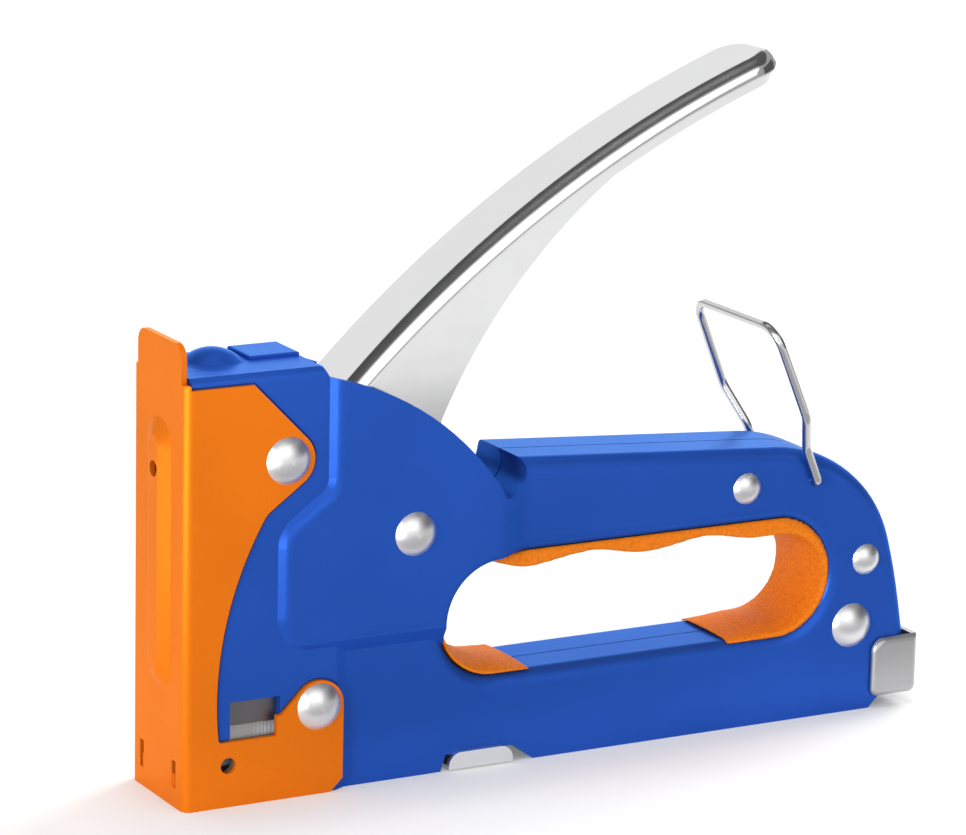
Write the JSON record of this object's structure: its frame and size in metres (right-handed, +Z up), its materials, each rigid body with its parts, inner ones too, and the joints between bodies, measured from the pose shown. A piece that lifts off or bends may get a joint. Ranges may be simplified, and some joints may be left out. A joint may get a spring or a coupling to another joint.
{
  "type": "hand staple gun",
  "caption": "Light-duty hand staple gun: pressed steel body with finger hole, squeeze lever, wire lock bail, spring-driven blade and rear-loading staple magazine.",
  "frame": {"origin": "middle of the base, on the mid-plane between the two shells", "axes": "+X back from the nose along the magazine, +Y to the tool's right, +Z up, with the base at Z = 0"},
  "size_m": [0.1486, 0.0296, 0.122],
  "materials": {
    "blue_paint": "semi-gloss",
    "orange_paint": "semi-gloss",
    "lever_chrome": "bright",
    "rivet_steel": "polished",
    "zinc_steel": "satin",
    "spring_wire": "oiled",
    "bail_wire": "bright",
    "staple_wire": "galvanised",
    "grip_rubber": "fine grain",
    "stop_rubber": "matt"
  },
  "bodies": {
    "frame": {"left_shell": "blue_paint", "right_shell": "blue_paint", "nose_plate": "orange_paint", "nose_upper_rivet": "rivet_steel", "nose_lower_rivet": "rivet_steel", "lever_rivet": "rivet_steel", "handle_rivet": "rivet_steel", "rear_upper_rivet": "rivet_steel", "rear_lower_rivet": "rivet_steel", "handle_spacer": "zinc_steel", "rear_spacer": "zinc_steel", "grip_liner": "grip_rubber", "front_grip_pad": "grip_rubber", "power_spring": "spring_wire", "spring_seat": "zinc_steel", "bump_stop": "stop_rubber", "magazine_channel": "zinc_steel", "magazine_cover": "zinc_steel", "bottom_clip": "zinc_steel"},
    "lever": {"lever": "lever_chrome", "lever_bush": "zinc_steel", "lifter": "zinc_steel", "lifter_pins": "zinc_steel", "lever_spring": "spring_wire"},
    "driver": {"plunger": "zinc_steel", "driver_blade": "zinc_steel", "driver_rivet": "rivet_steel"},
    "bail": {"lock_bail": "bail_wire"},
    "magazine": {"staple_rail": "zinc_steel", "rail_rivets": "rivet_steel", "pusher_rod": "zinc_steel", "end_cap": "zinc_steel", "staple_strip": "staple_wire", "pusher_spring": "spring_wire"},
    "pusher": {"pusher": "zinc_steel"}
  },
  "joints": [
    {"name": "lever_press", "type": "hinge", "parent": "frame", "child": "lever", "pos_m": [-0.0305, 0, 0.044], "axis": [0, 1, 0], "range_deg": [0, 40], "stiffness_Nm_per_rad": 2, "springref_deg": -28.65, "deforming": ["lever_spring"]},
    {"name": "driver_slide", "type": "slide", "parent": "frame", "child": "driver", "axis": [0, 0, 1], "range_m": [0, 0.01716], "deforming": ["power_spring"]},
    {"name": "bail_swing", "type": "hinge", "parent": "frame", "child": "bail", "pos_m": [0.0512, 0, 0.044], "axis": [0, 1, 0], "range_deg": [0, 101]},
    {"name": "magazine_slide", "type": "slide", "parent": "frame", "child": "magazine", "axis": [1, 0, 0], "range_m": [0, 0.09]},
    {"name": "pusher_slide", "type": "slide", "parent": "magazine", "child": "pusher", "axis": [1, 0, 0], "range_m": [0, 0.04], "stiffness_N_per_m": 50, "springref_m": -0.06, "deforming": ["pusher_spring"]}
  ],
  "couplings": [
    {"joint": "driver_slide", "follows": "lever_press", "m_per_rad": 0.024436},
    {"joint": "bail_swing", "follows": "lever_press", "ratio": 2.5}
  ]
}
